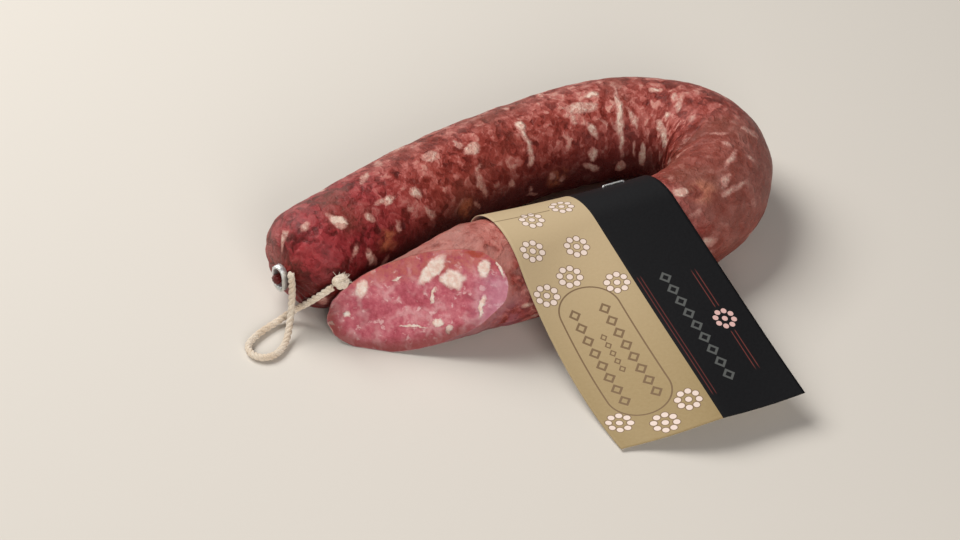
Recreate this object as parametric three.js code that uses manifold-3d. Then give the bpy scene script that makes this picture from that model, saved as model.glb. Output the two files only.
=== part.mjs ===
import * as THREE from "three";
import { mergeVertices } from "three/addons/utils/BufferGeometryUtils.js";
import Module from "manifold-3d";

// A dry-cured sausage, bent into a horseshoe and lying on its side. One end is tied off under an
// aluminium clip with a loop of twine, the other is cut on the bias. A paper band saddles the
// front arm. Millimetres, +Z up, origin at the middle of the footprint.

const radians = THREE.MathUtils.degToRad;
const wasm = await Module();
wasm.setup();

// Driving dimensions of the sausage.
const TIED_END = [-83, 53.4];    // where the dome of the tied end begins
const TIED_HEADING = 16.4;       // degrees, the way the sausage runs from there
const ARCS = [                   // the centreline as tangent arcs: [length, turn in degrees]
  [50, -5.5],
  [50, -10],
  [25, -8.5],
  [20, -13.5],
  [20, -29],
  [20, -43.5],
  [20, -40.5],
  [20, -26],
  [20, -20],
  [40, -14.5],
  [50, 12],
  [50, -8],
];
const GIRTH = [                  // [distance along the centreline, radius]
  [0, 19.7],
  [100, 19.6],
  [180, 20.2],
  [250, 20.2],
  [320, 20],
  [345, 17],
  [365, 15.6],
  [385, 14.6],
];
const STATION_STEP = 5;
const AROUND = 28;               // flats around the casing
const SETTLE = 0.6;              // how far the soft body is pressed flat on the surface
const DOME = 13.5;               // depth of the tied end's dome
const DOME_STEPS = 6;
const NECK_RADIUS = 2;
const NECK_END = 19;             // the gathered casing ends this far before the dome's base
const FRILL_RADIUS = 3;

// The bias cut: a point on its plane, the way the cut face looks, and how far it leans back.
const CUT_POINT = [-63.8, 15, 16.5];
const CUT_HEADING = -132.5;
const CUT_LEAN = 26.5;
// The knife passes between the two ends, so this plan outline over the tied end stays whole.
const TIED_END_GUARD = [
  [-109.3, 47],
  [-83.3, 32.8],
  [-49.3, 39],
  [-49.3, 91],
  [-109.3, 91],
];

function material(color, roughness, metalness = 0) {
  return new THREE.MeshStandardMaterial({ color, roughness, metalness });
}

function named(name, geometry, finish) {
  const mesh = new THREE.Mesh(geometry, finish);
  mesh.name = name;
  return mesh;
}

// Points and headings every few millimetres along the chain of arcs.
function walkCentreline() {
  const stations = [];
  let [x, y] = TIED_END;
  let heading = radians(TIED_HEADING);
  let along = 0;
  stations.push({ along, x, y, heading });
  for (const [length, turn] of ARCS) {
    const steps = Math.round(length / STATION_STEP);
    const bend = radians(turn) / steps;
    for (let i = 0; i < steps; i++) {
      x += (length / steps) * Math.cos(heading + bend / 2);
      y += (length / steps) * Math.sin(heading + bend / 2);
      heading += bend;
      along += length / steps;
      stations.push({ along, x, y, heading });
    }
  }
  return stations;
}

const centreline = walkCentreline();

function radiusAt(along) {
  const last = GIRTH.length - 1;
  if (along <= GIRTH[0][0]) return GIRTH[0][1];
  if (along >= GIRTH[last][0]) return GIRTH[last][1];
  const next = GIRTH.findIndex(([station]) => station >= along);
  const [from, radiusFrom] = GIRTH[next - 1];
  const [to, radiusTo] = GIRTH[next];
  return THREE.MathUtils.mapLinear(along, from, to, radiusFrom, radiusTo);
}

// The centreline at any distance, running straight on before its start.
function frameAt(along) {
  const start = centreline[0];
  if (along <= 0) {
    const x = start.x + along * Math.cos(start.heading);
    const y = start.y + along * Math.sin(start.heading);
    return { x, y, heading: start.heading };
  }
  const index = Math.min(Math.round(along / STATION_STEP), centreline.length - 1);
  return centreline[index];
}

// Drops triangles that shrank to a line and returns one closed mesh with shared vertices.
function welded(geometry) {
  geometry.deleteAttribute("normal");
  geometry.deleteAttribute("uv");
  const merged = mergeVertices(geometry, 1e-4);
  const index = merged.getIndex().array;
  const kept = [];
  for (let i = 0; i < index.length; i += 3) {
    const [a, b, c] = index.slice(i, i + 3);
    if (a !== b && b !== c && c !== a) kept.push(a, b, c);
  }
  merged.setIndex(kept);
  return merged;
}

function solidOf(geometry) {
  const closed = welded(geometry);
  const mesh = new wasm.Mesh({
    numProp: 3,
    vertProperties: new Float32Array(closed.getAttribute("position").array),
    triVerts: new Uint32Array(closed.getIndex().array),
  });
  return new wasm.Manifold(mesh);
}

function geometryOf(solid) {
  const mesh = solid.getMesh();
  const geometry = new THREE.BufferGeometry();
  geometry.setAttribute("position", new THREE.BufferAttribute(mesh.vertProperties, 3));
  geometry.setIndex(new THREE.BufferAttribute(mesh.triVerts, 1));
  return geometry;
}

// The straight sausage is turned on a lathe, bent along the centreline, pressed flat where it
// lies, and cut.
function makeSausage() {
  const profile = [new THREE.Vector2(0, -NECK_END)];
  profile.push(new THREE.Vector2(FRILL_RADIUS, -NECK_END + 0.4));
  profile.push(new THREE.Vector2(NECK_RADIUS, -NECK_END + 1.8));
  profile.push(new THREE.Vector2(NECK_RADIUS, -DOME));
  const neckAngle = Math.acos((NECK_RADIUS + 1.5) / radiusAt(0));
  for (let i = 0; i < DOME_STEPS; i++) {
    const angle = neckAngle * (1 - i / DOME_STEPS);
    profile.push(new THREE.Vector2(radiusAt(0) * Math.cos(angle), -DOME * Math.sin(angle)));
  }
  for (const { along } of centreline) profile.push(new THREE.Vector2(radiusAt(along), along));
  const end = centreline.at(-1).along;
  profile.push(new THREE.Vector2(0, end));

  const geometry = new THREE.LatheGeometry(profile, AROUND);
  const position = geometry.getAttribute("position");
  for (let i = 0; i < position.count; i++) {
    const [across, along, up] = [position.getX(i), position.getY(i), position.getZ(i)];
    const { x, y, heading } = frameAt(along);
    const height = Math.max(0, radiusAt(along) - SETTLE + up);
    position.setXYZ(i, x + across * Math.sin(heading), y - across * Math.cos(heading), height);
  }

  const knife = new THREE.BoxGeometry(100, 120, 120);
  knife.translate(50, 0, 0);
  knife.rotateY(-radians(CUT_LEAN));
  knife.rotateZ(radians(CUT_HEADING));
  knife.translate(...CUT_POINT);
  const plan = new THREE.Shape(TIED_END_GUARD.map(([x, y]) => new THREE.Vector2(x, y)));
  const guard = new THREE.ExtrudeGeometry(plan, { depth: 100, bevelEnabled: false });
  guard.translate(0, 0, -30);
  const cutaway = solidOf(knife).subtract(solidOf(guard));
  return geometryOf(solidOf(geometry).subtract(cutaway));
}

// The clip: a flat aluminium ring crimped round the gathered casing.
const CLIP_HEIGHT = 11;
const CLIP_WIDTH = 6;
const CLIP_DEPTH = 2.6;
const CLIP_FROM = 14.2;          // its near face, before the dome's base
const CLIP_HOLE = NECK_RADIUS + 0.35;

function makeClip() {
  const outline = new THREE.Shape();
  const corner = CLIP_WIDTH / 2;
  const straight = CLIP_HEIGHT / 2 - corner;
  outline.absarc(0, straight, corner, 0, Math.PI, false);
  outline.absarc(0, -straight, corner, Math.PI, 2 * Math.PI, false);
  outline.closePath();
  const hole = new THREE.Path();
  hole.absarc(0, 0, CLIP_HOLE, 0, 2 * Math.PI, true);
  outline.holes.push(hole);
  const geometry = new THREE.ExtrudeGeometry(outline, {
    depth: CLIP_DEPTH,
    bevelEnabled: false,
    curveSegments: 10,
  });
  // The outline is drawn across the neck: its x is sideways, its y is up.
  geometry.rotateX(Math.PI / 2);
  geometry.rotateZ(Math.PI);
  geometry.rotateZ(centreline[0].heading + Math.PI / 2);
  const { x, y } = frameAt(-CLIP_FROM);
  geometry.translate(x, y, radiusAt(0) - SETTLE);
  return geometry;
}

// The twine: one strand of cotton from beside the clip, down into a loop that lies on the surface,
// up over the tied end and into a frayed knot wedged between the two ends.
const TWINE_RADIUS = 1.4;
const TWINE_SIDES = 8;
const TWINE_STEPS = 26;
const TWINE_ROUTE = [
  [-95.5, 44.6, 23.2],
  [-95.6, 43.9, 19.4],
  [-96.1, 43.1, 15.4],
  [-97.1, 42, 11.4],
  [-98.5, 40.4, 7.6],
  [-100.4, 38.1, 4.5],
  [-102.7, 35.4, 2.5],
  [-105.4, 32.7, 1.6],
  [-108.3, 30.8, 1.5],
  [-111.4, 29.9, 1.5],
  [-114.4, 30.6, 1.5],
  [-116.7, 32.9, 1.5],
  [-117.5, 36, 1.5],
  [-116.7, 39, 1.5],
  [-114.4, 41.3, 1.5],
  [-110.1, 43.4, 1.5],
  [-105.3, 45, 1.5],
  [-100.7, 46, 1.9],
  [-96.8, 45.8, 3.6],
  [-94.1, 43.7, 6.6],
  [-91.9, 40.5, 10.2],
  [-89.9, 37.3, 14.1],
  [-87.6, 34.4, 17.9],
  [-84.9, 32.4, 21],
];
const KNOT_CENTRE = [-82.2, 30.9, 23.6];
const KNOT_RADII = [2.8, 2.8, 3.6];
const KNOT_DETAIL = 3;

function makeTwine() {
  const route = TWINE_ROUTE.map((point) => new THREE.Vector3(...point));
  const section = new THREE.Shape();
  for (let i = 0; i < TWINE_SIDES; i++) {
    const angle = (2 * Math.PI * i) / TWINE_SIDES;
    const corner = [TWINE_RADIUS * Math.cos(angle), TWINE_RADIUS * Math.sin(angle)];
    if (i === 0) section.moveTo(...corner);
    else section.lineTo(...corner);
  }
  return new THREE.ExtrudeGeometry(section, {
    steps: TWINE_STEPS,
    extrudePath: new THREE.CatmullRomCurve3(route),
  });
}

function makeTwineKnot() {
  const geometry = new THREE.IcosahedronGeometry(1, KNOT_DETAIL);
  geometry.scale(...KNOT_RADII);
  geometry.translate(...KNOT_CENTRE);
  return geometry;
}

// The band: a strip of card over the front arm. Its left edge falls steeply and lies down,
// its right edge leaves the arm at a slant and stays a little off the surface.
const BAND_LEFT_X = -27.6;
const BAND_RIGHT_X = 37.9;
const BAND_AXIS_Y = [12.4, 2.2];    // the arm's centre under the left and the right edge
const BAND_BOW = 1.2;               // the arm bows forward this much between them
const BAND_THICK = 0.4;
const BAND_RADIUS = 21.2;           // inside of the band where it hugs the arm
const BAND_CENTRE_Z = 19.6;
const BAND_BACK_TURN = 105;         // degrees down the back of the arm
const BAND_FRONT_LENGTH = 97;       // from the crest to the free end
const BAND_LEAVE = [48, 20];        // slope where each edge leaves the arm
const BAND_END_SLOPE = [2, 18];     // and at its free end
const BAND_SPREAD = 0.55;           // how far across the change from left to right is done
const BAND_STEPS = 40;
const BAND_ACROSS = 8;

function bandPoint(across, length, lift) {
  const blend = THREE.MathUtils.smoothstep(across, 0, BAND_SPREAD);
  const leave = radians(THREE.MathUtils.lerp(...BAND_LEAVE, blend));
  const endSlope = radians(THREE.MathUtils.lerp(...BAND_END_SLOPE, blend));
  const radius = BAND_RADIUS + lift;
  const turn = Math.min(length / BAND_RADIUS, leave);
  let out = radius * Math.sin(turn);
  let z = BAND_CENTRE_Z + radius * Math.cos(turn);
  const hugged = BAND_RADIUS * leave;
  if (length > hugged) {
    // The slope eases evenly from leaving to the free end, so the edge is one long arc.
    const free = BAND_FRONT_LENGTH - hugged;
    const travelled = length - hugged;
    const slices = 24;
    for (let i = 0; i < slices; i++) {
      const at = (travelled * (i + 0.5)) / slices;
      const slope = THREE.MathUtils.lerp(leave, endSlope, at / free);
      out += (travelled / slices) * Math.cos(slope);
      z -= (travelled / slices) * Math.sin(slope);
    }
    const slope = THREE.MathUtils.lerp(leave, endSlope, travelled / free);
    out += lift * (Math.sin(slope) - Math.sin(leave));
    z += lift * (Math.cos(slope) - Math.cos(leave));
  }
  const x = THREE.MathUtils.lerp(BAND_LEFT_X, BAND_RIGHT_X, across);
  const bow = BAND_BOW * 4 * across * (1 - across);
  const y = THREE.MathUtils.lerp(...BAND_AXIS_Y, across) - bow - out;
  return [x, y, z];
}

function makeBand() {
  const back = -BAND_RADIUS * radians(BAND_BACK_TURN);
  const geometry = new THREE.BoxGeometry(1, 1, 1, BAND_ACROSS, BAND_STEPS, 1);
  const position = geometry.getAttribute("position");
  for (let i = 0; i < position.count; i++) {
    const across = position.getX(i) + 0.5;
    const length = THREE.MathUtils.lerp(BAND_FRONT_LENGTH, back, position.getY(i) + 0.5);
    const lift = position.getZ(i) > 0 ? BAND_THICK : 0;
    position.setXYZ(i, ...bandPoint(across, length, lift));
  }
  return geometry;
}

// The staple: flat wire across the top of the band, behind the crest.
const STAPLE_ACROSS = 0.79;
const STAPLE_LENGTH = 9;
const STAPLE_WIRE = 0.7;
const STAPLE_BACK = 33;             // degrees behind the crest

function makeStaple() {
  const geometry = new THREE.BoxGeometry(STAPLE_LENGTH, STAPLE_WIRE, STAPLE_WIRE);
  const seat = BAND_THICK + 0.35 + STAPLE_WIRE / 2;
  const along = -BAND_RADIUS * radians(STAPLE_BACK);
  geometry.rotateX(-radians(STAPLE_BACK));
  const [leftY, rightY] = BAND_AXIS_Y;
  geometry.rotateZ(Math.atan2(rightY - leftY, BAND_RIGHT_X - BAND_LEFT_X));
  geometry.translate(...bandPoint(STAPLE_ACROSS, along, seat));
  return geometry;
}

const casingFinish = material(0x7d3f38, 0.5);
const clipFinish = material(0xc9ccce, 0.35, 0.9);
const twineFinish = material(0xd8c2af, 0.9);
const bandFinish = material(0xbfa876, 0.6);

const group = new THREE.Group();
group.add(named("sausage", makeSausage(), casingFinish));
group.add(named("end_clip", makeClip(), clipFinish));
group.add(named("twine", makeTwine(), twineFinish));
group.add(named("twine_knot", makeTwineKnot(), twineFinish));
group.add(named("label_band", makeBand(), bandFinish));
group.add(named("label_staple", makeStaple(), clipFinish));

export default group;
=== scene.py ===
import math
import random

import bmesh
import bpy
from mathutils import Matrix, Vector, noise


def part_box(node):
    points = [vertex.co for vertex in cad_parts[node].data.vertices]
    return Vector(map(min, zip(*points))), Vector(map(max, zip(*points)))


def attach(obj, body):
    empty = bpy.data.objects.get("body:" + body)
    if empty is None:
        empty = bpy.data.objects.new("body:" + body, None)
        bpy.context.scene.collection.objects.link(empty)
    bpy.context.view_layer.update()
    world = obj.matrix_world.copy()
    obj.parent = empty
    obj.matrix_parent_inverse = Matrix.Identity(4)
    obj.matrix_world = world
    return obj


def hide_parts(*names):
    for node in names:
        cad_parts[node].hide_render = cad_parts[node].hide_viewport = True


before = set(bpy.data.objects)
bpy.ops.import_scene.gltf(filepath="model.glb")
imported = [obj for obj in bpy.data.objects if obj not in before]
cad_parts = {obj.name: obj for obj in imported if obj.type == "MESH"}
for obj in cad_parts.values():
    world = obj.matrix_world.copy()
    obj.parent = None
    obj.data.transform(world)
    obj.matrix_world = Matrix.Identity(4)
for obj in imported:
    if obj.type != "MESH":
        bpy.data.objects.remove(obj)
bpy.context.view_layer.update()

# Camera: a long lens on the front left, well above the surface, so that the tied end, the cut face and
# the front of the label can all be seen.

CAMERA_AZIMUTH = math.radians(-30)
CAMERA_ELEVATION = math.radians(40)
CAMERA_DISTANCE = 0.85
CAMERA_LENS = 83.8
CAMERA_SENSOR = 36
LOOKS_AT = Vector((-0.0211, 0.0358, 0))

level = math.cos(CAMERA_ELEVATION)
away = Vector((
    math.sin(CAMERA_AZIMUTH) * level,
    -math.cos(CAMERA_AZIMUTH) * level,
    math.sin(CAMERA_ELEVATION),
))
camera_data = bpy.data.cameras.new("camera")
camera_data.lens = CAMERA_LENS
camera_data.sensor_width = CAMERA_SENSOR
camera = bpy.data.objects.new("camera", camera_data)
camera.location = LOOKS_AT + away * CAMERA_DISTANCE
camera.rotation_euler = away.to_track_quat("Z", "Y").to_euler()
bpy.context.collection.objects.link(camera)
bpy.context.scene.camera = camera


# Twine: cotton, three plies laid right-handed. It leaves the clip, falls to the surface, turns back in
# one loop and climbs over the tied end to a knot between the two ends.

# The twine's middle line, in metres, from the clip to the knot.
TWINE_ROUTE = [
    (-0.0955, 0.0446, 0.0232),
    (-0.0956, 0.0439, 0.0194),
    (-0.0961, 0.0431, 0.0154),
    (-0.0971, 0.0420, 0.0114),
    (-0.0985, 0.0404, 0.0076),
    (-0.1004, 0.0381, 0.0045),
    (-0.1027, 0.0354, 0.0025),
    (-0.1054, 0.0327, 0.0016),
    (-0.1083, 0.0308, 0.0015),
    (-0.1114, 0.0299, 0.0015),
    (-0.1144, 0.0306, 0.0015),
    (-0.1167, 0.0329, 0.0015),
    (-0.1175, 0.0360, 0.0015),
    (-0.1167, 0.0390, 0.0015),
    (-0.1144, 0.0413, 0.0015),
    (-0.1101, 0.0434, 0.0015),
    (-0.1053, 0.0450, 0.0015),
    (-0.1007, 0.0460, 0.0019),
    (-0.0968, 0.0458, 0.0036),
    (-0.0941, 0.0437, 0.0066),
    (-0.0919, 0.0405, 0.0102),
    (-0.0899, 0.0373, 0.0141),
    (-0.0876, 0.0344, 0.0179),
    (-0.0849, 0.0324, 0.0210),
]
TWINE_RADIUS = 0.0014
PLIES = 3
PLY_RADIUS = 0.00072
PLY_REACH = TWINE_RADIUS - PLY_RADIUS
PLY_SIDES = 8
PLY_PITCH = 0.0068
STEPS_PER_SPAN = 10


class Sum:
    """A number that varies over a surface: a node socket that takes part in Python sums."""

    def __init__(self, finish, socket):
        self.finish = finish
        self.socket = socket

    def math(self, operation, *others):
        inputs = dict(enumerate((self, *others)))
        return self.finish.node("ShaderNodeMath", {"operation": operation}, inputs)

    def __add__(self, other):
        return self.math("ADD", other)

    def __mul__(self, other):
        return self.math("MULTIPLY", other)

    def __sub__(self, other):
        return self.math("SUBTRACT", other)

    def __abs__(self):
        return self.math("ABSOLUTE")

    __radd__ = __add__


class Finish:
    """A surface finish: a new material, its shader, and the nodes that feed it."""

    def __init__(self, name):
        self.material = bpy.data.materials.new(name)
        self.material.use_nodes = True
        self.tree = self.material.node_tree
        self.shader = self.tree.nodes["Principled BSDF"]

    def plug(self, socket, value):
        """Links a Sum to the socket, or sets the socket to a number or a colour."""
        if isinstance(value, Sum):
            self.tree.links.new(value.socket, socket)
        elif socket.type == "RGBA" and len(value) == 3:
            socket.default_value = (*value, 1)
        else:
            socket.default_value = value

    def node(self, kind, settings=None, inputs=None, output=0):
        """Adds a node, its settings first and then its sockets, and returns one output."""
        node = self.tree.nodes.new(kind)
        for name, value in (settings or {}).items():
            if name == "stops":
                ramp = node.color_ramp
                while len(ramp.elements) < len(value):
                    ramp.elements.new(1)
                for element, (place, colour) in zip(ramp.elements, value):
                    element.position = place
                    element.color = (*colour, 1)
            else:
                setattr(node, name, value)
        for name, value in (inputs or {}).items():
            self.plug(node.inputs[name], value)
        return Sum(self, node.outputs[output])

    def mix(self, amount, first, second):
        """first where amount is 0, second where it is 1. Both are colours."""
        return self.node("ShaderNodeMix", {"data_type": "RGBA"}, {0: amount, 6: first, 7: second}, 2)

    def between(self, value, low, high):
        """0 below low, 1 above high, smooth in between; low may be the larger."""
        inputs = {"Value": value, "From Min": low, "From Max": high}
        return self.node("ShaderNodeMapRange", {"interpolation_type": "SMOOTHSTEP"}, inputs)

    def cloud(self, place, scale, detail=3, roughness=0.5, output=0):
        """Soft noise from 0 to 1, with about scale lumps to the metre."""
        inputs = {"Vector": place, "Scale": scale, "Detail": detail, "Roughness": roughness}
        return self.node("ShaderNodeTexNoise", {}, inputs, output)

    def bump(self, height, distance):
        """A normal for a surface raised by distance, in metres, where height is 1."""
        return self.node("ShaderNodeBump", {}, {"Strength": 1.0, "Distance": distance, "Height": height})

    def parts(self, vector, count=3):
        """The first numbers of a vector, each on its own."""
        first = self.node("ShaderNodeSeparateXYZ", {}, {0: vector}, 0)
        return [Sum(self, output) for output in first.socket.node.outputs[:count]]

    def split(self, attribute):
        """The three numbers that the mesh holds under that name."""
        return self.parts(self.node("ShaderNodeAttribute", {"attribute_name": attribute}, {}, "Vector"))

    def set(self, **values):
        """Feeds or sets the shader's sockets; base_color stands for Base Color."""
        for name, value in values.items():
            self.plug(self.shader.inputs[name.replace("_", " ").title().replace("Ior", "IOR")], value)


def route_through(points, steps):
    """A smooth line through the points, with that many steps from each to the next."""
    ends = [2 * points[0] - points[1], *points, 2 * points[-1] - points[-2]]
    line = []
    for a, b, c, d in zip(ends, ends[1:], ends[2:], ends[3:]):
        for step in range(steps):
            t = step / steps
            cubic = 3 * (b - c) + d - a
            square = 2 * a - 5 * b + 4 * c - d + t * cubic
            line.append(b + 0.5 * t * (c - a + t * square))
    return [*line, points[-1]]


def frames_along(line):
    """A matrix at each point, its Z along the line and its X and Y turning as little as they can."""
    neighbours = zip([line[0], *line], [*line[1:], line[-1]])
    tangents = [(after - before).normalized() for before, after in neighbours]
    turn = Vector((0, 0, 1)).rotation_difference(tangents[0])
    frames = []
    for point, before, tangent in zip(line, [tangents[0], *tangents], tangents):
        turn = before.rotation_difference(tangent) @ turn
        frames.append(Matrix.LocRotScale(point, turn, None))
    return frames


def round_section(sides):
    """The corners of a round section of radius 1."""
    turns = [2 * math.pi * side / sides for side in range(sides)]
    return [Vector((math.cos(turn), math.sin(turn), 0)) for turn in turns]


def of_kind(items, kind):
    """The vertices, the edges or the faces out of a mixed list."""
    return [item for item in items if isinstance(item, kind)]


def extrude_on(bm, edges):
    """Extrudes a ring of edges, and returns the new vertices, edges and faces."""
    made = bmesh.ops.extrude_edge_only(bm, edges=edges)["geom"]
    verts = of_kind(made, bmesh.types.BMVert)
    new = set(verts)
    edges = [edge for edge in of_kind(made, bmesh.types.BMEdge) if new.issuperset(edge.verts)]
    return verts, edges, of_kind(made, bmesh.types.BMFace)


def sweep(bm, frames, section, sizes):
    """Extrudes the section through the frames, with a size for each, and caps both ends."""
    ring = bmesh.ops.create_circle(bm, segments=len(section), radius=1)["verts"]
    edges = list(dict.fromkeys(edge for vert in ring for edge in vert.link_edges))
    caps = [edges]
    for index, (place, size) in enumerate(zip(frames, sizes)):
        if index:
            ring, edges, _ = extrude_on(bm, edges)
        for vert, corner in zip(ring, section):
            vert.co = place @ (corner * size)
    caps.append(edges)
    for edges in caps:
        bmesh.ops.contextual_create(bm, geom=edges)


def lay_plies(bm, frames, twist, reach):
    """Winds the plies round the frames, at that reach, twist being the turn from one frame to the next."""
    for ply in range(PLIES):
        laid = []
        for index, place in enumerate(frames):
            angle = 2 * math.pi * (ply / PLIES + index * twist)
            laid.append(place @ (Vector((math.cos(angle), math.sin(angle), 0)) * reach))
        sweep(bm, frames_along(laid), round_section(PLY_SIDES), [PLY_RADIUS] * len(laid))


def piece(name, bm, *finishes):
    """Turns the bmesh into an object with smooth faces that rides on the part's one body."""
    bmesh.ops.recalc_face_normals(bm, faces=bm.faces)
    mesh = bpy.data.meshes.new(name)
    for face in bm.faces:
        face.smooth = True
    bm.to_mesh(mesh)
    bm.free()
    for finish in finishes:
        mesh.materials.append(finish.material)
    made = bpy.data.objects.new(name, mesh)
    bpy.context.collection.objects.link(made)
    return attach(made, "root")


def cotton():
    """Undyed cotton: a fine fibrous grain, and soft patches where it is a little soiled."""
    finish = Finish("cotton_twine")
    place = finish.node("ShaderNodeTexCoord", {}, {}, "Object")
    fibre = finish.cloud(place, 2600, 4, 0.7)
    stain = finish.cloud(place, 160, 3)
    colour = finish.mix(finish.between(stain, 0.35, 0.7), (0.84, 0.74, 0.61), (0.74, 0.60, 0.45))
    colour = finish.mix(finish.between(fibre, 0.55, 0.3), colour, (0.59, 0.48, 0.35))
    finish.set(base_color=colour, roughness=0.9, normal=finish.bump(fibre, 0.00025))
    finish.set(sheen_weight=0.3, sheen_roughness=0.5)
    return finish


twine_line = route_through([Vector(point) for point in TWINE_ROUTE], STEPS_PER_SPAN)
twine_frames = frames_along(twine_line)
step_length = sum((b - a).length for a, b in zip(twine_line, twine_line[1:])) / (len(twine_line) - 1)
twine_mesh = bmesh.new()
lay_plies(twine_mesh, twine_frames, step_length / PLY_PITCH, PLY_REACH)
cotton_finish = cotton()
twine = piece("twine_strand", twine_mesh, cotton_finish)
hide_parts("twine")


# Knot: the twine's own end, wound round itself in three short turns and pulled tight. What is left of
# the end is frayed out into fibres.

# Each turn: its tilt in degrees, its height and reach in metres, and how far it is squeezed from round.
KNOT_TURNS = [(0, 0.0, 0.0019, 1.0), (70, 0.0009, 0.0017, 0.8), (115, -0.0011, 0.0018, 0.9)]
KNOT_STEPS = 24
KNOT_OVERLAP = 1.06
KNOT_CLIMB = 0.0006
KNOT_TWIST = 1.7
KNOT_PLY_REACH = PLY_REACH * 0.8
FRAYED_FIBRES = 46
FIBRE_RADIUS = 0.00016
FIBRE_ROOT = 0.001
FIBRE_CURL = 0.0009
FIBRE_TAPER = 0.6
FIBRE_STOPS = (0, 0.25, 0.5, 0.75, 1)

knot_low, knot_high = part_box("twine_knot")
knot_centre = (knot_low + knot_high) / 2
knot_mesh = bmesh.new()
for tilt, lift, reach, squeeze in KNOT_TURNS:
    wound = []
    for step in range(KNOT_STEPS + 1):
        angle = KNOT_OVERLAP * 2 * math.pi * step / KNOT_STEPS
        height = lift + KNOT_CLIMB * step / KNOT_STEPS
        turned = Vector((reach * math.cos(angle), reach * squeeze * math.sin(angle), height))
        wound.append(knot_centre + Matrix.Rotation(math.radians(tilt), 3, "X") @ turned)
    lay_plies(knot_mesh, frames_along(wound), KNOT_TWIST / KNOT_STEPS, KNOT_PLY_REACH)
fray = random.Random(4)
for _ in range(FRAYED_FIBRES):
    out = Vector((fray.uniform(-0.4, 0.9), fray.uniform(-0.9, 0.3), fray.uniform(0.1, 1.1))).normalized()
    curl = Vector((fray.uniform(-1, 1), fray.uniform(-1, 1), fray.uniform(-1, 0.2))) * FIBRE_CURL
    length = fray.uniform(0.0022, 0.0036)
    fibre_line = [knot_centre + out * (FIBRE_ROOT + length * t) + curl * t * t for t in FIBRE_STOPS]
    thinning = [FIBRE_RADIUS * (1 - FIBRE_TAPER * t) for t in FIBRE_STOPS]
    sweep(knot_mesh, frames_along(fibre_line), round_section(4), thinning)
knot = piece("twine_end_knot", knot_mesh, cotton_finish)
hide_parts("twine_knot")


# Studio: a plain pale surface that the part lies on, one broad soft light above and behind it, and a
# smaller, lower one from the front left.

FLOOR_SIZE = 6
FLOOR_DROP = 0.0002

floor_mesh = bmesh.new()
bmesh.ops.create_grid(floor_mesh, x_segments=1, y_segments=1, size=FLOOR_SIZE / 2)
bmesh.ops.translate(floor_mesh, vec=(0, 0, -FLOOR_DROP), verts=floor_mesh.verts)
floor_finish = Finish("pale_floor")
floor_finish.set(base_color=(0.66, 0.62, 0.56), roughness=0.85)
floor = piece("floor", floor_mesh, floor_finish)


def soft_light(name, place, size, power, colour):
    """A square area light that faces the middle of the part."""
    data = bpy.data.lights.new(name, "AREA")
    data.size = size
    data.energy = power
    data.color = colour
    light = bpy.data.objects.new(name, data)
    light.location = place
    light.rotation_euler = Vector(place).to_track_quat("Z", "Y").to_euler()
    bpy.context.collection.objects.link(light)


soft_light("broad_light", (-0.3, 0.75, 1.0), 0.8, 17.5, (1.0, 0.985, 0.96))
soft_light("front_light", (-0.4, -1.15, 0.62), 0.6, 10.5, (1.0, 0.96, 0.93))
world = bpy.data.worlds.new("studio")
world.use_nodes = True
background = world.node_tree.nodes["Background"]
background.inputs["Color"].default_value = (0.92, 0.93, 1.0, 1)
background.inputs["Strength"].default_value = 0.11
bpy.context.scene.world = world
bpy.context.scene.view_settings.view_transform = "Standard"


# Sausage: minced meat and diced fat in a natural casing, dried as a horseshoe lying on its side. The
# casing is gathered into a neck at one end; at the other the sausage is sliced off on the bias.

MM = 0.001
TIED_END = Vector((-83.0, 53.4, 0)) * MM
TIED_HEADING = math.radians(16.4)
# The middle line as a chain of arcs from the tied end: length in millimetres, turn in degrees.
ARCS = [
    (50, -5.5), (50, -10), (25, -8.5), (20, -13.5), (20, -29), (20, -43.5),
    (20, -40.5), (20, -26), (20, -20), (40, -14.5), (50, 12), (50, -8),
]
# Millimetres along from the tied end, and the radius there: the body, and the gathered neck before it.
GIRTH = [(0, 19.7), (100, 19.6), (180, 20.2), (250, 20.2), (320, 20), (345, 17), (365, 15.6), (385, 14.6)]
NECK = [
    (-18.3, 0.2), (-18.2, 1.4), (-17.9, 1.8), (-17.2, 1.7),
    (-16.9, 1.6), (-15, 1.55), (-13.9, 1.7), (-13.5, 3.5),
]
DOME = 13.5
DOME_STEPS = 14
AROUND = 180
# How far the sausage has sunk flat where it lies on the surface, in millimetres.
SETTLE = 0.6
# Only the part beyond this, in metres along the sausage, is cut.
CUT_ARM_FROM = 0.27
CUT_POINT = Vector((-63.8, 15, 16.5)) * MM
CUT_HEADING = math.radians(-132.5)
CUT_LEAN = math.radians(26.5)
FACE_RINGS = 30
RIM_KEPT = 0.988
WELD = 1e-7
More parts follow.
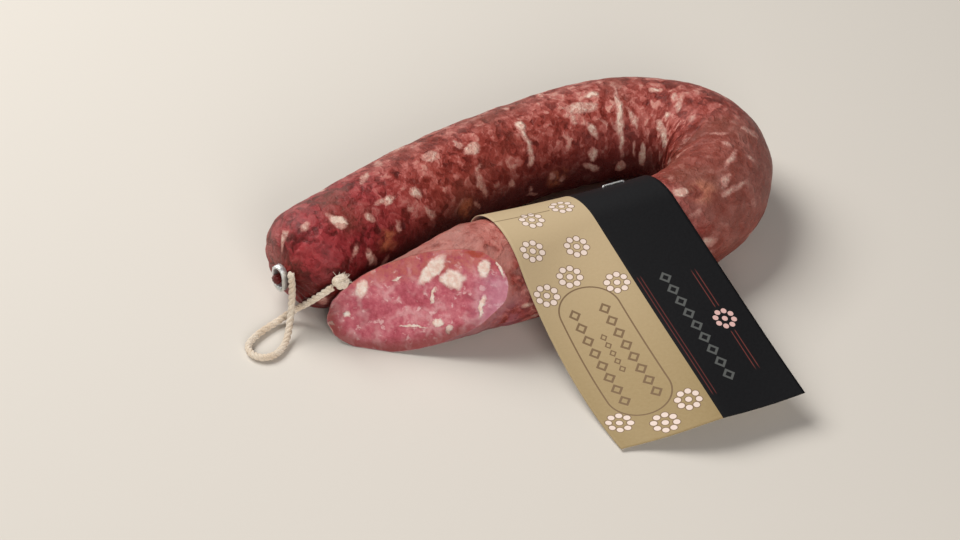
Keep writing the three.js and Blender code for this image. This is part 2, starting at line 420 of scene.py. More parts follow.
# Fat that shows through the casing: millimetres from the tied end, degrees round from the top towards
# the inside of the bend, half length, half width, turn from lengthways in degrees, and how pale it is.
CASING_FAT = [
    (141, 43, 10.5, 1.0, 93, 0.95),
    (170, 59, 8.5, 2.2, 28, 0.75),
    (154, 86, 4.6, 2.1, 88, 0.75),
    (98, 19, 2.0, 1.7, 0, 1.0),
    (97, 36, 5.5, 0.9, 95, 0.7),
    (125, 20, 6.2, 2.4, 10, 0.55),
    (120, 31, 2.4, 1.2, 90, 0.6),
    (127, 50, 2.6, 1.5, 60, 0.7),
    (74, 24, 2.9, 2.3, 0, 0.7),
    (7, 27, 2.5, 2.4, 0, 1.0),
    (-10, -14, 2.0, 1.7, 0, 0.5),
    (-4, 8, 1.6, 1.3, 0, 0.5),
    (19, 39, 1.8, 1.3, 45, 0.7),
    (30, 32, 2.0, 1.3, 0, 0.7),
    (42, 41, 2.1, 1.5, 70, 0.65),
    (57, 9, 3.1, 1.9, 0, 0.5),
    (125, 76, 2.4, 1.8, 90, 0.6),
    (140, 102, 2.6, 2.3, 0, 0.6),
    (167, 34, 1.5, 1.2, 0, 0.85),
    (158, 6, 1.3, 1.0, 0, 0.8),
    (132, 4, 2.2, 1.4, 0, 0.8),
    (223, -42, 4.5, 0.9, 10, 0.5),
    (215, -18, 4.5, 0.8, 0, 0.5),
    (241, -13, 2.2, 2.0, 0, 0.75),
    (239, -77, 2.6, 1.6, 30, 0.5),
]
SCATTERED_FAT = 250
# Orange fat near the skin: millimetres along, degrees round, and radius.
ORANGE_SPOTS = [
    (234, -24, 7), (62, 84, 6), (22, 70, 7), (108, 96, 7), (338, -12, 9), (205, 160, 8), (90, -110, 8),
]
# Pieces of fat in the cut face: place across and up the face, half length, half width, turn in degrees.
FAT_PIECES = [
    (8.2, 14.6, 6.6, 2.3, 52),
    (15.8, 11.9, 4.6, 3.0, 8),
    (27.0, 17.6, 3.4, 2.1, 78),
    (-16.9, 3.8, 3.0, 2.2, 80),
    (-21.8, -6.6, 1.7, 1.2, 20),
    (16.6, -6.3, 1.7, 1.0, 80),
    (12.2, -4.6, 1.7, 1.1, 30),
    (27.4, 3.2, 4.4, 0.9, 84),
    (3.0, -7.4, 5.2, 0.4, 4),
    (9.4, 5.0, 3.0, 0.7, 78),
    (-27.6, -11.2, 1.6, 0.8, 0),
    (-4.5, 9.3, 1.8, 0.5, 30),
    (31.6, 21.0, 6.4, 0.8, 118),
]


def eased(value, low, high):
    """0 below low, 1 above high, smooth in between; low may be the larger."""
    t = min(max((value - low) / (high - low), 0), 1)
    return t * t * (3 - 2 * t)


def walk_centreline():
    """Places and headings every millimetre along the chain of arcs, in metres and radians."""
    x, y, _ = TIED_END
    heading = TIED_HEADING
    stations = [(x, y, heading)]
    for length, turn in ARCS:
        bend = math.radians(turn) / length
        for _ in range(length):
            x += MM * math.cos(heading + bend / 2)
            y += MM * math.sin(heading + bend / 2)
            heading += bend
            stations.append((x, y, heading))
    return stations


def radius_at(along):
    """The radius in millimetres, from the girth's stations and the tied end's dome and neck."""
    if along < NECK[-1][0]:
        stations = NECK
    elif along < 0:
        return GIRTH[0][1] * math.sqrt(max(1 - (along / DOME) ** 2, (NECK[-1][1] / GIRTH[0][1]) ** 2))
    else:
        stations = GIRTH
    for (start, wide), (stop, narrow) in zip(stations, stations[1:]):
        if start <= along <= stop:
            return wide + (narrow - wide) * (along - start) / (stop - start)
    return stations[-1][1]


def casing_relief(straight, along, angle):
    """How far the casing stands out of its even round, in millimetres, at a place on the unbent sausage."""
    inner = math.sin(angle)
    lumps = 0.5 * noise.noise(straight * 38) + 0.42 * noise.noise(straight * 95 + Vector((7, 0, 0)))
    grain = 0.26 * noise.noise(straight * 240) + 0.13 * noise.noise(straight * 560)
    relief = (lumps + grain) * eased(along, -DOME, 4)
    # Folds where the inside of the bend is squeezed: they run round the girth and fan out.
    squeezed = eased(inner, -0.4, 0.8) * eased(along, 150, 200) * eased(along, 262, 228)
    wander = 2.6 * noise.noise(straight * 55 + Vector((0, 3, 0))) + 0.9 * noise.noise(straight * 170)
    fold = abs(math.sin(math.pi * (along + 2.4 * wander) / 8))
    relief += squeezed * (0.9 * fold ** 0.6 - 0.65)
    # One deep crease where the back arm turns into the bend.
    lean = 184 + 15 * min(max(angle / math.radians(55), 0), 1.3)
    crease = math.exp(-(((along + 0.8 * wander - lean) / 2.2) ** 2))
    relief -= 1.3 * crease * eased(inner, -0.1, 0.6) * eased(math.cos(angle), -0.9, -0.2)
    # Pleats that run together into the neck.
    gathered = eased(along, -1, -DOME)
    relief += gathered * 0.75 * math.sin(15 * angle + 3 * noise.noise(straight * 120))
    if along < -DOME:
        relief = 0.15 * math.sin(9 * angle + 2)
    return relief


def scatter_fat():
    """Fat all over the casing, mostly lying round the girth, and fainter on the bend's smooth skin."""
    pick = random.Random(11)
    marks = []
    for _ in range(SCATTERED_FAT):
        along, around = pick.uniform(-9, 390), pick.uniform(-180, 180)
        wide = pick.uniform(0.6, 1.5)
        long = wide * pick.uniform(1.1, 3.2)
        pale = pick.uniform(0.3, 0.75)
        turn = pick.gauss(90, 40)
        if 186 < along < 250:
            pale *= 0.55
        listed_side = -40 < around < 110 and -12 < along < 182
        if not (listed_side and pale > 0.62):
            marks.append((along, around, long, wide, turn, pale))
    return marks


def ellipse_depth(aside, ahead, half_length, half_width, turn):
    """How far inside an ellipse a point lies, roughly in its own units; negative outside."""
    cos, sin = math.cos(math.radians(turn)), math.sin(math.radians(turn))
    reach = math.hypot((ahead * cos + aside * sin) / half_length, (aside * cos - ahead * sin) / half_width)
    return (1 - reach) * min(half_length, half_width)


def round_offset(angle, around):
    """Millimetres round the girth from a mark to a place."""
    turn = (angle - math.radians(around) + math.pi) % (2 * math.pi) - math.pi
    return turn * GIRTH[0][1]


def fat_at(marks, straight, along, angle):
    """How pale the casing is over the fat behind it, from 0 to 1. The marks' outlines wander a little."""
    paleness = 0
    along += 1.3 * noise.noise(straight * 260)
    angle += 0.065 * noise.noise(straight * 260 + Vector((0, 0, 5)))
    for mark_along, around, half_length, half_width, turn, pale in marks:
        aside, ahead = round_offset(angle, around), along - mark_along
        depth = ellipse_depth(aside, ahead, half_length, half_width, turn)
        paleness = max(paleness, pale * eased(depth, -0.9, 0.6))
    return paleness


def orange_at(along, angle):
    """How near a place is to the middle of an orange spot, from 0 to 1."""
    orange = 0
    for spot_along, around, radius in ORANGE_SPOTS:
        reach = math.hypot(round_offset(angle, around), along - spot_along)
        orange = max(orange, eased(reach, radius, radius * 0.2))
    return orange


def skin_at(along, angle):
    """Where the skin is fresh and crimson, where it is dry and brown, and where it has a grey bloom that is
    partly dust and partly painted sheen.
    """
    fresh = max(eased(along, 55, 12), 0.3 * eased(along, 232, 246) * eased(along, 300, 270))
    dry = max(eased(along, 184, 200) * eased(along, 250, 232), 0.4 * eased(along, 314, 324))
    # Grey bloom: dust, and painted sheen on the upper back side and on the casing just before the cut.
    bloom_and_sheen = max(eased(math.cos(angle + math.radians(50)), 0.4, 1) * 0.8, eased(along, 312, 324))
    return Vector((fresh, dry, bloom_and_sheen))


def bend_casing(bm, layers):
    """A grid wrapped round the middle line, each vertex with its unbent place, its skin, its stains and its
    painted shade.
    """
    centreline = walk_centreline()
    stations = [along for along, _ in NECK]
    stations += [-DOME * math.cos(math.pi / 2 * step / DOME_STEPS) for step in range(1, DOME_STEPS)]
    stations += range(len(centreline))
    marks = CASING_FAT + scatter_fat()
    rows = len(stations) - 1
    bmesh.ops.create_grid(bm, x_segments=AROUND, y_segments=rows, size=0.5)
    row_marks = [[mark for mark in marks if abs(mark[0] - along) < mark[2] + 2] for along in stations]
    for vert in bm.verts:
        angle = 2 * math.pi * (vert.co.x + 0.5)
        row = round((vert.co.y + 0.5) * rows)
        along = stations[row]
        radius = radius_at(along)
        straight = Vector((radius * math.sin(angle), radius * math.cos(angle), along)) * MM
        wrapped = (angle + math.pi) % (2 * math.pi) - math.pi
        radius = max(radius + casing_relief(straight, along, wrapped), 0.1) * MM
        x, y, heading = centreline[max(round(along), 0)]
        before = min(along, 0) * MM
        x += before * math.cos(heading) + radius * math.sin(angle) * math.sin(heading)
        y += before * math.sin(heading) - radius * math.sin(angle) * math.cos(heading)
        height = (radius_at(max(along, 0)) - SETTLE) * MM + radius * math.cos(angle)
        fat = fat_at(row_marks[row], straight, along, angle)
        # Painted shade low on the inside of the back arm, where it faces the front arm; the gathered neck is
        # darkened all round.
        painted_shade_dark_neck = eased(wrapped, 0.8, 1.7) * eased(wrapped, 3.1, 2.4) * eased(along, 190, 150)
        vert[layers["straight"]] = straight
        vert[layers["skin"]] = skin_at(along, angle)
        vert[layers["stain"]] = (fat, orange_at(along, angle), 1 if along < -DOME else painted_shade_dark_neck)
        vert.co = (x, y, max(height, 0))
    bmesh.ops.remove_doubles(bm, verts=bm.verts, dist=WELD)
    ends = [edge for edge in bm.edges if edge.is_boundary]
    neck_edges = [edge for edge in ends if edge.verts[0][layers["straight"]].z < 0]
    bmesh.ops.contextual_create(bm, geom=neck_edges)


def slice_end(bm, layers):
    """Cuts the front end off on the bias and closes it with the face.

    The slice layer holds how far across and up the face a vertex lies, and how far in from its rim.
    """
    level_part = math.cos(CUT_LEAN)
    outward = Vector((
        math.cos(CUT_HEADING) * level_part,
        math.sin(CUT_HEADING) * level_part,
        math.sin(CUT_LEAN),
    ))
    sideways = Vector((-math.sin(CUT_HEADING), math.cos(CUT_HEADING), 0))
    upward = outward.cross(sideways)
    arm = [vert for vert in bm.verts if vert[layers["straight"]].z > CUT_ARM_FROM]
    inside = set(arm)
    arm += [edge for edge in bm.edges if inside.issuperset(edge.verts)]
    arm += [face for face in bm.faces if inside.issuperset(face.verts)]
    cut = bmesh.ops.bisect_plane(
        bm, geom=arm, plane_co=CUT_POINT, plane_no=outward, clear_outer=True, dist=WELD
    )
    edges = of_kind(cut["geom_cut"], bmesh.types.BMEdge)
    rim = list(dict.fromkeys(vert for edge in edges for vert in edge.verts))
    centre = sum((vert.co for vert in rim), Vector()) / len(rim)
    for vert in rim:
        place = vert.co - CUT_POINT
        vert[layers["slice"]] = (place.dot(sideways), place.dot(upward), 0)
    for edge in edges:
        edge.smooth = False

    # Rings drawn in from the rim, each a step nearer the middle. The first stays casing: its cut edge.
    for ring in range(1, FACE_RINGS):
        verts, edges, faces = extrude_on(bm, edges)
        for face in faces:
            face.material_index = 1 if ring > 1 else 0
        kept = RIM_KEPT if ring == 1 else (FACE_RINGS - ring) / (FACE_RINGS - ring + 1)
        share = RIM_KEPT * (FACE_RINGS - ring) / (FACE_RINGS - 1)
        for vert in verts:
            flat = vert.co - outward * (vert.co - CUT_POINT).dot(outward)
            flat = centre + (flat - centre) * kept
            across, up = (flat - CUT_POINT).dot(sideways), (flat - CUT_POINT).dot(upward)
            vert[layers["slice"]] = (across, up, (flat - centre).length * (1 / share - 1))
            relief = 0.3 * noise.noise(flat * 150) + 0.14 * noise.noise(flat * 420)
            for fat_across, fat_up, half_length, half_width, turn in FAT_PIECES:
                aside, ahead = up / MM - fat_up, across / MM - fat_across
                depth = ellipse_depth(aside, ahead, half_length, half_width, turn)
                relief += 0.2 * eased(depth, -0.5, 0.4)
            vert.co = flat + outward * (relief * MM if ring > 1 else 0)
    bmesh.ops.pointmerge(bm, verts=verts, merge_co=verts[0].co)


def make_sausage():
    bm = bmesh.new()
    names = ("straight", "skin", "stain", "slice")
    layers = {name: bm.verts.layers.float_vector.new(name) for name in names}
    bend_casing(bm, layers)
    slice_end(bm, layers)
    return bm


def casing_finish():
    """Natural casing dried onto coarse mince: a patchwork of red lean and pink fat behind a thin skin."""
    finish = Finish("casing")
    straight = finish.node("ShaderNodeAttribute", {"attribute_name": "straight"}, {}, "Vector")
    fresh, dry, bloom_and_sheen = finish.split("skin")
    fat, orange, painted_shade_dark_neck = finish.split("stain")
    drift = finish.cloud(straight, 210, 3, 0.6, "Color")
    drift = finish.node("ShaderNodeVectorMath", {"operation": "SCALE"}, {0: drift, "Scale": 0.0042})
    place = finish.node("ShaderNodeVectorMath", {"operation": "ADD"}, {0: straight, 1: drift})
    patches = finish.cloud(straight, 150, 4, 0.6)
    fine = finish.cloud(straight, 620, 4, 0.65)
    broad = finish.cloud(straight, 40, 3)

    def minced(scale, smoothness):
        """One number for each grain of mince, blending where grains meet."""
        settings = {"feature": "SMOOTH_F1"}
        sizes = {"Vector": place, "Scale": scale, "Smoothness": smoothness}
        tone = finish.node("ShaderNodeTexVoronoi", settings, sizes, "Color")
        return finish.node("ShaderNodeSeparateColor", {}, {0: tone}, 0)

    coarse, small = minced(270, 0.45), minced(560, 0.35)
    _, upright, along = finish.parts(straight)
    fatty = finish.between(along, 98 * MM, 116 * MM) * finish.between(along, 188 * MM, 172 * MM)
    mince = coarse * 0.32 + small * 0.2 + patches * 0.5 + fine * 0.18 + fatty * 0.05 - 0.045
    colour = finish.node(
        "ShaderNodeValToRGB",
        {"stops": [
            (0.26, (0.075, 0.004, 0.002)),
            (0.44, (0.185, 0.019, 0.011)),
            (0.58, (0.310, 0.048, 0.034)),
            (0.70, (0.470, 0.130, 0.105)),
            (0.82, (0.620, 0.280, 0.225)),
        ]},
        {"Fac": mince},
    )
    crimson = finish.mix(finish.between(mince, 0.32, 0.72), (0.070, 0.001, 0.001), (0.34, 0.022, 0.032))
    colour = finish.mix(fresh * 0.85, colour, crimson)
    leather = finish.mix(patches * 0.5 + fine * 0.5, (0.140, 0.020, 0.010), (0.330, 0.078, 0.052))
    colour = finish.mix(dry * 0.72, colour, leather)
    # Rosy casing just before the cut: lighter peach on top as a painted highlight, darker violet below as
    # painted shade.
    by_cut = finish.between(along, 302 * MM, 315 * MM) * finish.between(patches, 0.28, 0.58)
    painted_light_on_top = finish.between(upright, -2 * MM, 12 * MM)
    rosy = finish.mix(painted_light_on_top, (0.300, 0.085, 0.120), (0.540, 0.190, 0.155))
    colour = finish.mix(by_cut * 0.72, colour, rosy)
    colour = finish.mix(finish.between(broad, 0.48, 0.70) * 0.45, colour, (0.175, 0.052, 0.030))
    # Painted shade low on the inside of the back arm, and the gathered neck darkened all round.
    colour = finish.mix(painted_shade_dark_neck * 0.88, colour, (0.075, 0.002, 0.001))
    colour = finish.mix(orange * finish.between(patches, 0.40, 0.62) * 0.8, colour, (0.52, 0.155, 0.07))
    ragged = fat + fine * 0.9 + patches * 0.3 - 0.6
    marbling = finish.between(ragged, 0.05, 0.9)
    pink_edge = finish.between(ragged, -0.12, 0.35) * finish.between(fat, 0, 0.25)
    colour = finish.mix(pink_edge * 0.6, colour, (0.56, 0.20, 0.165))
    cream = finish.mix(finish.between(small, 0.3, 0.7), (0.66, 0.37, 0.30), (0.84, 0.64, 0.52))
    colour = finish.mix(marbling * 0.95, colour, cream)
    # Grey bloom: partly dust, partly painted sheen on the upper back side and before the cut.
    dust_and_sheen = bloom_and_sheen * finish.between(patches, 0.25, 0.7)
    colour = finish.mix(dust_and_sheen * 0.34, colour, (0.36, 0.235, 0.205))
    relief = fine * 0.55 + patches * 0.7 + marbling * 0.5 + small * 0.35 + coarse * 0.3
    finish.set(
        base_color=colour,
        roughness=0.42 + fine * 0.2 + dust_and_sheen * 0.12,
        specular_ior_level=0.26,
        coat_weight=0.06,
        coat_roughness=0.35,
        normal=finish.bump(relief, 0.0008),
        subsurface_weight=0.06,
        subsurface_radius=(0.004, 0.0012, 0.0008),
        subsurface_scale=0.6,
    )
    return finish


def meat_finish():
    """The cut face: pink lean, soft fine fat between its grains, and diced back fat in cream pieces."""
    finish = Finish("cut_face")
    across, up, inward = finish.split("slice")
    place = finish.node("ShaderNodeCombineXYZ", {}, {0: across, 1: up})
    warp = finish.cloud(place, 240, 3, 0.6, "Color")
    warp = finish.node("ShaderNodeVectorMath", {"operation": "SUBTRACT"}, {0: warp, 1: (0.5, 0.5, 0.5)})
    warp = finish.node("ShaderNodeVectorMath", {"operation": "SCALE"}, {0: warp, "Scale": 0.0042})
    warped = finish.node("ShaderNodeVectorMath", {"operation": "ADD"}, {0: place, 1: warp})
    broad = finish.cloud(place, 95, 3)
    grain = finish.cloud(place, 430, 4, 0.65)

    colour = finish.node(
        "ShaderNodeValToRGB",
        {"stops": [
            (0.32, (0.320, 0.036, 0.054)),
            (0.47, (0.500, 0.094, 0.130)),
            (0.58, (0.620, 0.180, 0.215)),
            (0.70, (0.760, 0.370, 0.385)),
        ]},
        {"Fac": broad * 0.5 + grain * 0.5},
    )
    cells = {"Vector": warped, "Scale": 170}
    net = finish.node("ShaderNodeTexVoronoi", {"feature": "DISTANCE_TO_EDGE"}, cells, "Distance")
    veins = finish.between(net, 0.24, 0.0) * finish.between(finish.cloud(place, 130, 2), 0.44, 0.6)
    colour = finish.mix(veins * 0.5, colour, (0.80, 0.46, 0.46))
    flecks = finish.between(finish.cloud(warped, 310, 3, 0.55), 0.58, 0.69)
    colour = finish.mix(flecks * 0.62, colour, (0.88, 0.62, 0.60))
    # Painted cool reflection: a violet tint on the lower right of the cut face.
    painted_cool_reflection = finish.between(across, 20 * MM, 33 * MM) * finish.between(up, 19 * MM, 12 * MM)
    colour = finish.mix(painted_cool_reflection * 0.5, colour, (0.58, 0.28, 0.38))
    rust = finish.between(up + across * -0.28, 7 * MM, 13 * MM) * finish.between(grain, 0.34, 0.58)
    colour = finish.mix(rust * 0.55, colour, (0.50, 0.135, 0.070))

    wandering_across, wandering_up = finish.parts(warped, 2)
    fat = None
    for fat_across, fat_up, half_length, half_width, turn in FAT_PIECES:
        cos, sin = math.cos(math.radians(turn)), math.sin(math.radians(turn))
        x, y = wandering_across - fat_across * MM, wandering_up - fat_up * MM
        lengthways = (x * cos + y * sin) * (1 / (half_length * MM))
        crossways = (y * cos - x * sin) * (1 / (half_width * MM))
        near = (lengthways * lengthways + crossways * crossways).math("SQRT")
        inside = finish.between(near, 1.3, 0.72)
        fat = inside if fat is None else fat.math("MAXIMUM", inside)
    cream = finish.mix(finish.between(grain, 0.35, 0.65), (0.84, 0.60, 0.50), (0.96, 0.85, 0.76))
    colour = finish.mix(fat * 0.95, colour, cream)
    from_red = abs(wandering_across - 23 * MM) + abs(wandering_up - 22.4 * MM) * 2.2
    colour = finish.mix(finish.between(from_red, 4.6 * MM, 2 * MM) * 0.85, colour, (0.42, 0.055, 0.026))
    # Darker near the rim on the lower half of the face: partly a dried rim, partly painted shade towards the
    # bottom.
    dry_rim_and_shade = finish.between(inward, 8 * MM, 0.8 * MM) * finish.between(up, 4 * MM, -9 * MM)
    colour = finish.mix(dry_rim_and_shade * 0.78, colour, (0.200, 0.045, 0.032))
    finish.set(
        base_color=colour,
        roughness=0.36 + grain * 0.2,
        specular_ior_level=0.35,
        normal=finish.bump(grain * 0.7 + fat * 0.5 + veins * 0.3, 0.0007),
        subsurface_weight=0.15,
        subsurface_radius=(0.004, 0.0015, 0.0012),
        subsurface_scale=0.8,
    )
    return finish


sausage = piece("cured_sausage", make_sausage(), casing_finish(), meat_finish())
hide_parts("sausage")


# Clip: flat aluminium wire with rounded edges, bent round the gathered neck and crimped. Its two ends
# are lapped at the foot.

# The wire's middle line across the neck, and its section along and across the neck, in millimetres.
CLIP_ROUTE = [
    (-1.0, -4.3), (0.7, -4.7), (2.0, -3.9), (2.5, -2.2), (2.55, 0), (2.5, 2.2), (2.0, 3.9), (0.8, 4.8),
    (-0.8, 4.8), (-2.0, 3.9), (-2.5, 2.2), (-2.55, 0), (-2.5, -2.4), (-2.0, -4.3), (-0.6, -5.3), (1.1, -5.2),
]
CLIP_WIRE = [
    (1.3, 0.25), (1.1, 0.5), (-1.1, 0.5), (-1.3, 0.25),
    (-1.3, -0.25), (-1.1, -0.5), (1.1, -0.5), (1.3, -0.25),
]
CLIP_STEPS = 6

clip_low, clip_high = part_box("end_clip")
clip_centre = (clip_low + clip_high) / 2
neck_way = Vector((math.cos(TIED_HEADING), math.sin(TIED_HEADING), 0))
neck_side = Vector((-neck_way.y, neck_way.x, 0))
clip_points = [clip_centre + (neck_side * x + Vector((0, 0, y))) * MM for x, y in CLIP_ROUTE]
clip_frames = frames_along(route_through(clip_points, CLIP_STEPS))
wide_way = (clip_frames[0].to_3x3().inverted() @ neck_way).normalized()
thick_way = Vector((0, 0, 1)).cross(wide_way)
clip_section = [(wide_way * wide + thick_way * thick) * MM for wide, thick in CLIP_WIRE]
clip_mesh = bmesh.new()
sweep(clip_mesh, clip_frames, clip_section, [1] * len(clip_frames))


def aluminium():
    """Drawn aluminium: pale and finely rubbed, dulled here and there by grease."""
    finish = Finish("clip_metal")
    place = finish.node("ShaderNodeTexCoord", {}, {}, "Object")
    rubbed = finish.cloud(place, 1500, 4, 0.7)
    grease = finish.cloud(place, 420, 2)
    colour = finish.mix(finish.between(grease, 0.4, 0.7), (0.80, 0.81, 0.82), (0.62, 0.64, 0.60))
    finish.set(
        base_color=colour,
        metallic=0.85,
        roughness=0.30 + rubbed * 0.3,
        normal=finish.bump(rubbed, 0.00015),
    )
    return finish


aluminium_finish = aluminium()
clip = piece("bent_clip", clip_mesh, aluminium_finish)
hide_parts("end_clip")


# Label band: one strip of coated paper over the front arm, half printed gold and half black, and stapled
# behind the crest. Its back hangs down the arm; its front stands forward in one long curve.

# Lengths in millimetres and angles in degrees. BAND_AXIS_Y, BAND_LEAVE and BAND_END_SLOPE each hold the
# values at the band's left and right edges.
BAND_LEFT_X = -27.6
BAND_RIGHT_X = 37.9
BAND_AXIS_Y = (12.4, 2.2)
BAND_BOW = 1.2
BAND_RADIUS = 21.2
BAND_CENTRE_Z = 19.6
BAND_BACK = BAND_RADIUS * math.radians(105)
BAND_FRONT = 97
BAND_LEAVE = (48, 20)
BAND_END_SLOPE = (2, 18)
BAND_SPREAD = 0.55
BAND_WIDTH = BAND_RIGHT_X - BAND_LEFT_X
BAND_SLICES = 24
BAND_GRID = (60, 150)
# How far the printed side stands out from BAND_RADIUS, and how thick the paper is.
SEAT = 0.06
PAPER = 0.32
BLACK_FROM = 33.4
# Across the band from its left edge, and along it from the crest.
ROSETTES = [
    (26, -3), (12.5, 1), (6.5, 14), (22, 16), (15, 26.3),
    (5.2, 31), (28, 34), (5.4, 85.5), (17, 91.2), (27, 86),
]
ROSETTE_RING = 3.25
ROSETTE_DOT = 1.02


def mixed(pair, amount):
    """The first of the pair where amount is 0, the second where it is 1."""
    return pair[0] + (pair[1] - pair[0]) * amount


def band_place(across, length, lift):
    """A point of the band in millimetres: across from 0 to 1, length along it from the crest."""
    blend = eased(across, 0, BAND_SPREAD)
    leave = math.radians(mixed(BAND_LEAVE, blend))
    end_slope = math.radians(mixed(BAND_END_SLOPE, blend))
    radius = BAND_RADIUS + lift
    turn = min(length / BAND_RADIUS, leave)
    out = radius * math.sin(turn)
    z = BAND_CENTRE_Z + radius * math.cos(turn)
    hugged = BAND_RADIUS * leave
    if length > hugged:
        free = BAND_FRONT - hugged
        travelled = length - hugged
        for slice_index in range(BAND_SLICES):
            slope = mixed((leave, end_slope), travelled * (slice_index + 0.5) / BAND_SLICES / free)
            out += travelled / BAND_SLICES * math.cos(slope)
            z -= travelled / BAND_SLICES * math.sin(slope)
        slope = mixed((leave, end_slope), travelled / free)
        out += lift * (math.sin(slope) - math.sin(leave))
        z += lift * (math.cos(slope) - math.cos(leave))
    bow = BAND_BOW * 4 * across * (1 - across)
    return Vector((mixed((BAND_LEFT_X, BAND_RIGHT_X), across), mixed(BAND_AXIS_Y, across) - bow - out, z))


def make_band():
    """A flat grid laid along the band's curve and thickened. Its print layer is 1 in z on the underside."""
    bm = bmesh.new()
    print_layer = bm.verts.layers.float_vector.new("print")
    bmesh.ops.create_grid(bm, x_segments=BAND_GRID[0], y_segments=BAND_GRID[1], size=0.5)
    for vert in bm.verts:
        across = vert.co.x + 0.5
        length = mixed((BAND_FRONT, -BAND_BACK), vert.co.y + 0.5)
        place = band_place(across, length, SEAT)
        place.z += eased(length, 25, 90) * 0.35 * math.sin(across * 7 + length / 17)
        vert[print_layer] = (across * BAND_WIDTH * MM, length * MM, 0)
        vert.co = place * MM
    bmesh.ops.recalc_face_normals(bm, faces=bm.faces)
    made = bmesh.ops.solidify(bm, geom=bm.faces[:], thickness=PAPER * MM)["geom"]
    for vert in of_kind(made, bmesh.types.BMVert):
        vert[print_layer].z = 1
    return bm


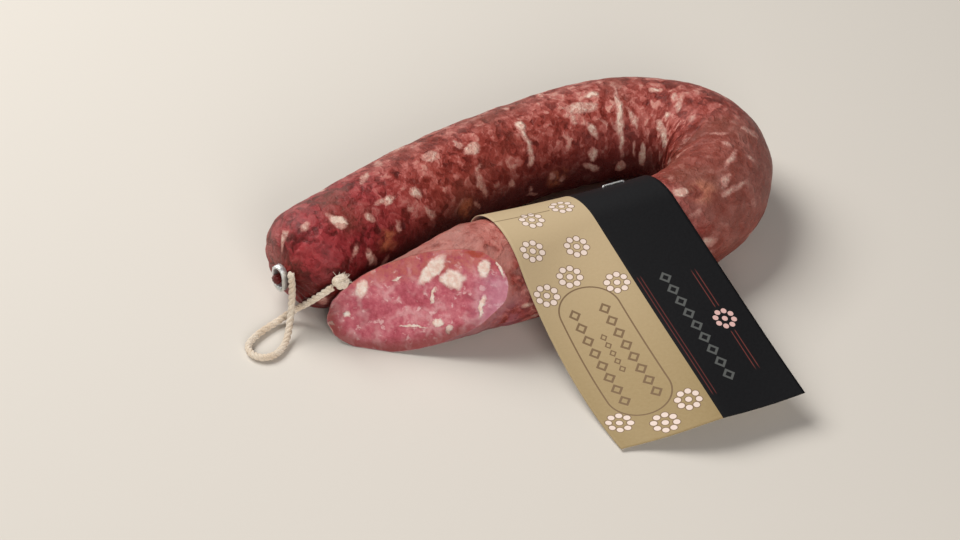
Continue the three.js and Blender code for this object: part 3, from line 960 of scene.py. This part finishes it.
def paper_finish():
    """Coated paper: rosettes and an oval frame on the gold half, rules and lozenges on the black half."""
    finish = Finish("label_paper")
    across, length, back = finish.split("print")
    place = finish.node("ShaderNodeCombineXYZ", {}, {0: across, 1: length})
    weave = finish.cloud(place, 900, 3, 0.6)
    ink = (0.20, 0.13, 0.07)

    def line(distance, half_width):
        """1 along a printed line of that half width in millimetres, 0 beside it."""
        return finish.between(abs(distance), (half_width + 0.06) * MM, (half_width - 0.06) * MM)

    def lozenges(middle, first, last, pitch, half_width):
        """A row of open lozenges along the band."""
        step = (length - first * MM).math("FLOORED_MODULO", pitch * MM) - pitch / 2 * MM
        reach = abs(across - middle * MM) * (1 / half_width) + abs(step) * (2.3 / pitch)
        inside = finish.between(length, (first - 0.05) * MM, first * MM)
        inside = inside * finish.between(length, (last + 0.05) * MM, last * MM)
        return line(reach - 0.8 * MM, 0.25) * inside

    def rosette(at_across, at_length):
        """A ring of eight dots round a ninth, and the thin edge of each dot."""
        x, y = across - at_across * MM, length - at_length * MM
        reach = (x * x + y * y).math("SQRT")
        turn = y.math("ARCTAN2", x).math("FLOORED_MODULO", math.tau / 8) - math.tau / 16
        aside = reach * turn.math("SINE")
        ahead = reach * turn.math("COSINE") - ROSETTE_RING * MM
        gap = (aside * aside + ahead * ahead).math("SQRT").math("MINIMUM", reach)
        dot = finish.between(gap, (ROSETTE_DOT + 0.07) * MM, (ROSETTE_DOT - 0.07) * MM)
        return dot, line(gap - (ROSETTE_DOT + 0.13) * MM, 0.14)

    # The gold is darker towards the band's front end: painted shade.
    gold = finish.mix(finish.between(length, -8 * MM, 96 * MM), (0.52, 0.395, 0.235), (0.32, 0.23, 0.105))
    gold = finish.mix(weave * 0.2, gold, (0.64, 0.51, 0.32))
    for at_across, at_length in ROSETTES:
        dots, edges = rosette(at_across, at_length)
        gold = finish.mix(edges, gold, ink)
        gold = finish.mix(dots, gold, (0.80, 0.66, 0.58))
    beyond = (abs(length - 58.5 * MM) - 17.5 * MM).math("MAXIMUM", 0)
    aside = across - 15.8 * MM
    oval = (beyond * beyond + aside * aside).math("SQRT") - 9.6 * MM
    gold = finish.mix(line(oval, 0.26), gold, ink)
    gold = finish.mix(lozenges(10.9, 38, 80, 5.25, 1.9) + lozenges(20.3, 39, 81, 5.25, 1.9), gold, ink)
    gold = finish.mix(lozenges(15.6, 50, 67, 3.4, 1.1), gold, ink)
    crest_rule = line(length + 2.2 * MM, 0.2) * finish.between(across, 21 * MM, 20.9 * MM)
    gold = finish.mix(crest_rule, gold, ink)

    black = finish.mix(weave, (0.004, 0.004, 0.005), (0.008, 0.008, 0.009))
    long_rules = line(across - 35.0 * MM, 0.16) + line(across - 36.3 * MM, 0.16)
    long_rules = long_rules * finish.between(length, 34 * MM, 36 * MM)
    long_rules = long_rules * finish.between(length, 88 * MM, 86 * MM)
    black = finish.mix(long_rules, black, (0.13, 0.030, 0.026))
    far_rules = line(across - 54.7 * MM, 0.16) + line(across - 56.2 * MM, 0.16)
    far_rules = far_rules * finish.between(abs(length - 60 * MM), 5 * MM, 6 * MM)
    far_rules = far_rules * finish.between(abs(length - 60 * MM), 23 * MM, 20 * MM)
    black = finish.mix(far_rules, black, (0.17, 0.040, 0.032))
    black = finish.mix(lozenges(44.5, 35, 84, 5.45, 2.3), black, (0.10, 0.105, 0.10))
    dots, _ = rosette(55.4, 60)
    black = finish.mix(dots, black, (0.72, 0.46, 0.42))
    on_black = finish.between(across, (BLACK_FROM - 0.05) * MM, (BLACK_FROM + 0.05) * MM)
    front = finish.mix(on_black, gold, black)
    bare = finish.mix(weave, (0.55, 0.50, 0.42), (0.66, 0.61, 0.53))
    finish.set(
        base_color=finish.mix(finish.between(back, 0.4, 0.6), front, bare),
        roughness=0.52 + weave * 0.12,
        specular_ior_level=0.2,
        normal=finish.bump(weave, 0.00008),
    )
    return finish


band = piece("label_strip", make_band(), paper_finish())
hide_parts("label_band")


# Staple: one piece of bright round wire, pushed through the band behind the crest. Its crown lies flat
# on the paper and its two legs go down through it.

STAPLE_ACROSS = 0.79
STAPLE_BACK = BAND_RADIUS * math.radians(33)
STAPLE_WIRE = 0.36
STAPLE_SIDES = 10
STAPLE_STEPS = 5
# Along the crown and up from the paper, in millimetres.
STAPLE_ROUTE = [
    (-4.15, -0.75), (-4.3, -0.1), (-4.1, 0.3), (-3.6, 0.42), (-1.5, 0.45),
    (1.5, 0.45), (3.6, 0.42), (4.1, 0.3), (4.3, -0.1), (4.15, -0.75),
]

seat = band_place(STAPLE_ACROSS, -STAPLE_BACK, SEAT)
staple_up = (band_place(STAPLE_ACROSS, -STAPLE_BACK, SEAT + 1) - seat).normalized()
staple_way = (band_place(STAPLE_ACROSS + 0.05, -STAPLE_BACK, SEAT) - seat).normalized()
staple_points = [(seat + staple_way * x + staple_up * y) * MM for x, y in STAPLE_ROUTE]
staple_frames = frames_along(route_through(staple_points, STAPLE_STEPS))
staple_mesh = bmesh.new()
sweep(staple_mesh, staple_frames, round_section(STAPLE_SIDES), [STAPLE_WIRE * MM] * len(staple_frames))
staple = piece("bent_staple", staple_mesh, aluminium_finish)
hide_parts("label_staple")
